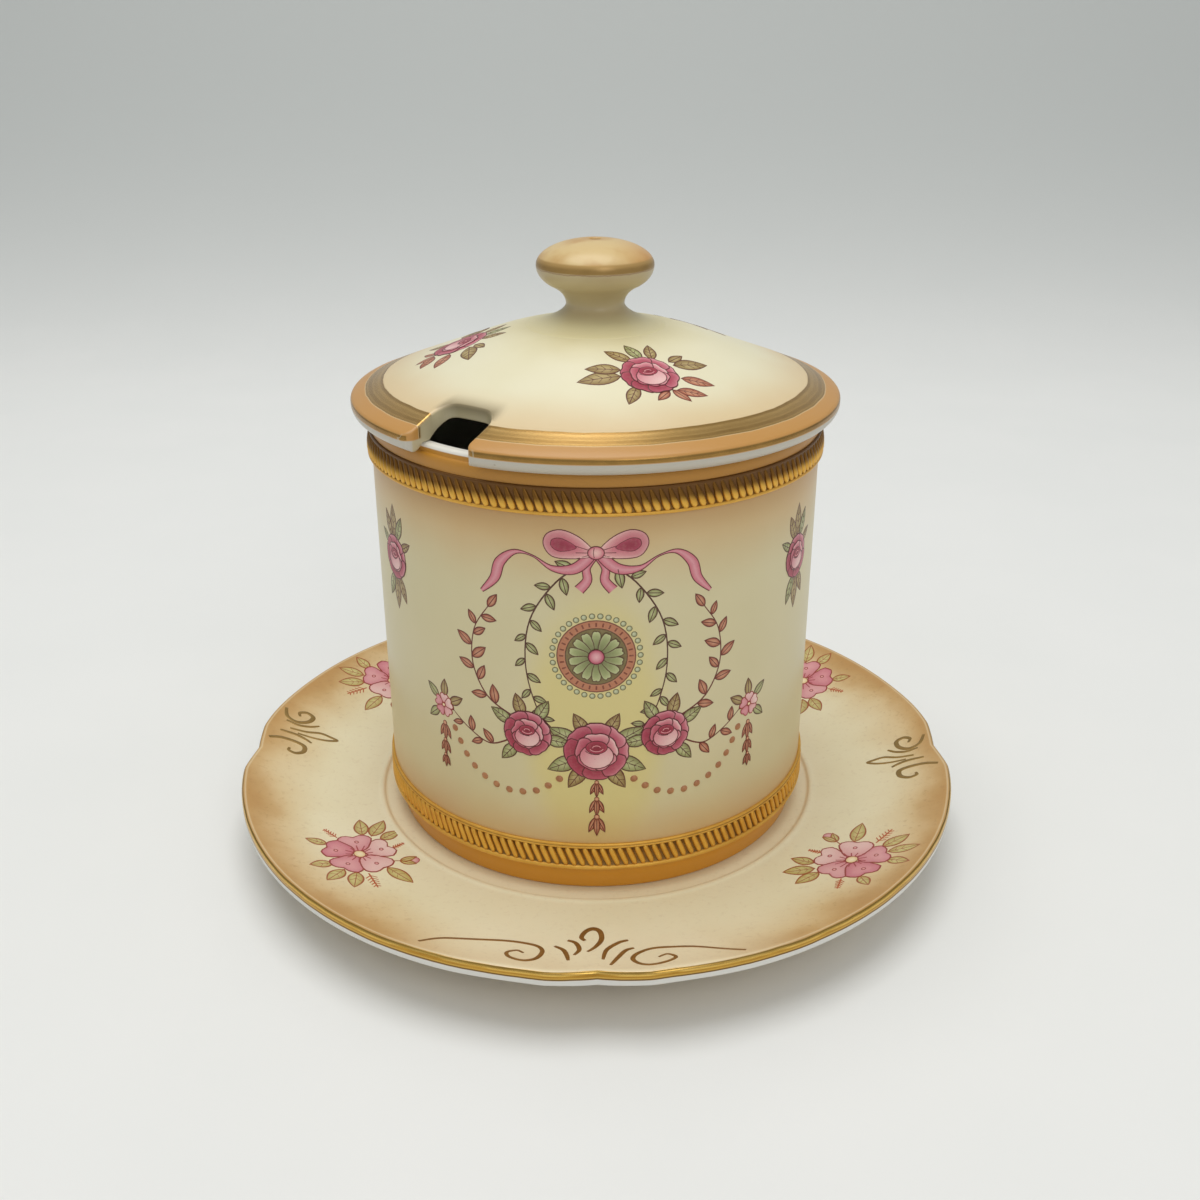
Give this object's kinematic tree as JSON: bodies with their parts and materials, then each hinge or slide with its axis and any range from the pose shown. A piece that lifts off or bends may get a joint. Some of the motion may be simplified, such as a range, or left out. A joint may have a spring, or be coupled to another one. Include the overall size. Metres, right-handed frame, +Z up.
{
  "type": "jam pot",
  "caption": "Straight-sided china jam pot with rope bands, a domed lid with a spoon notch and mushroom knob, on a lobed underplate.",
  "frame": {"origin": "middle of the underplate's base, on the surface it stands on", "axes": "+Z up along the pot's axis; the front, which the decoration faces, is -Y; the lid's spoon notch is front left"},
  "size_m": [0.1486, 0.1486, 0.1211],
  "materials": {
    "ivory_glaze": "semi-matt blush ivory glaze",
    "plate_glaze": "semi-matt blush ivory glaze with peach edges",
    "knob_glaze": "semi-matt peach glaze with a gilt line",
    "gilding": "fired gilding over moulded china"
  },
  "bodies": {
    "underplate": {"underplate": "plate_glaze"},
    "pot": {"pot": "ivory_glaze", "lower_rope_band": "gilding", "upper_rope_band": "gilding"},
    "lid": {"lid": "ivory_glaze", "knob": "knob_glaze"}
  },
  "joints": [
    {"name": "pot_lift", "type": "slide", "parent": "underplate", "child": "pot", "axis": [0, 0, 1], "range_m": [0, 0.04]},
    {"name": "lid_lift", "type": "slide", "parent": "pot", "child": "lid", "axis": [0, 0, 1], "range_m": [0, 0.06]}
  ]
}
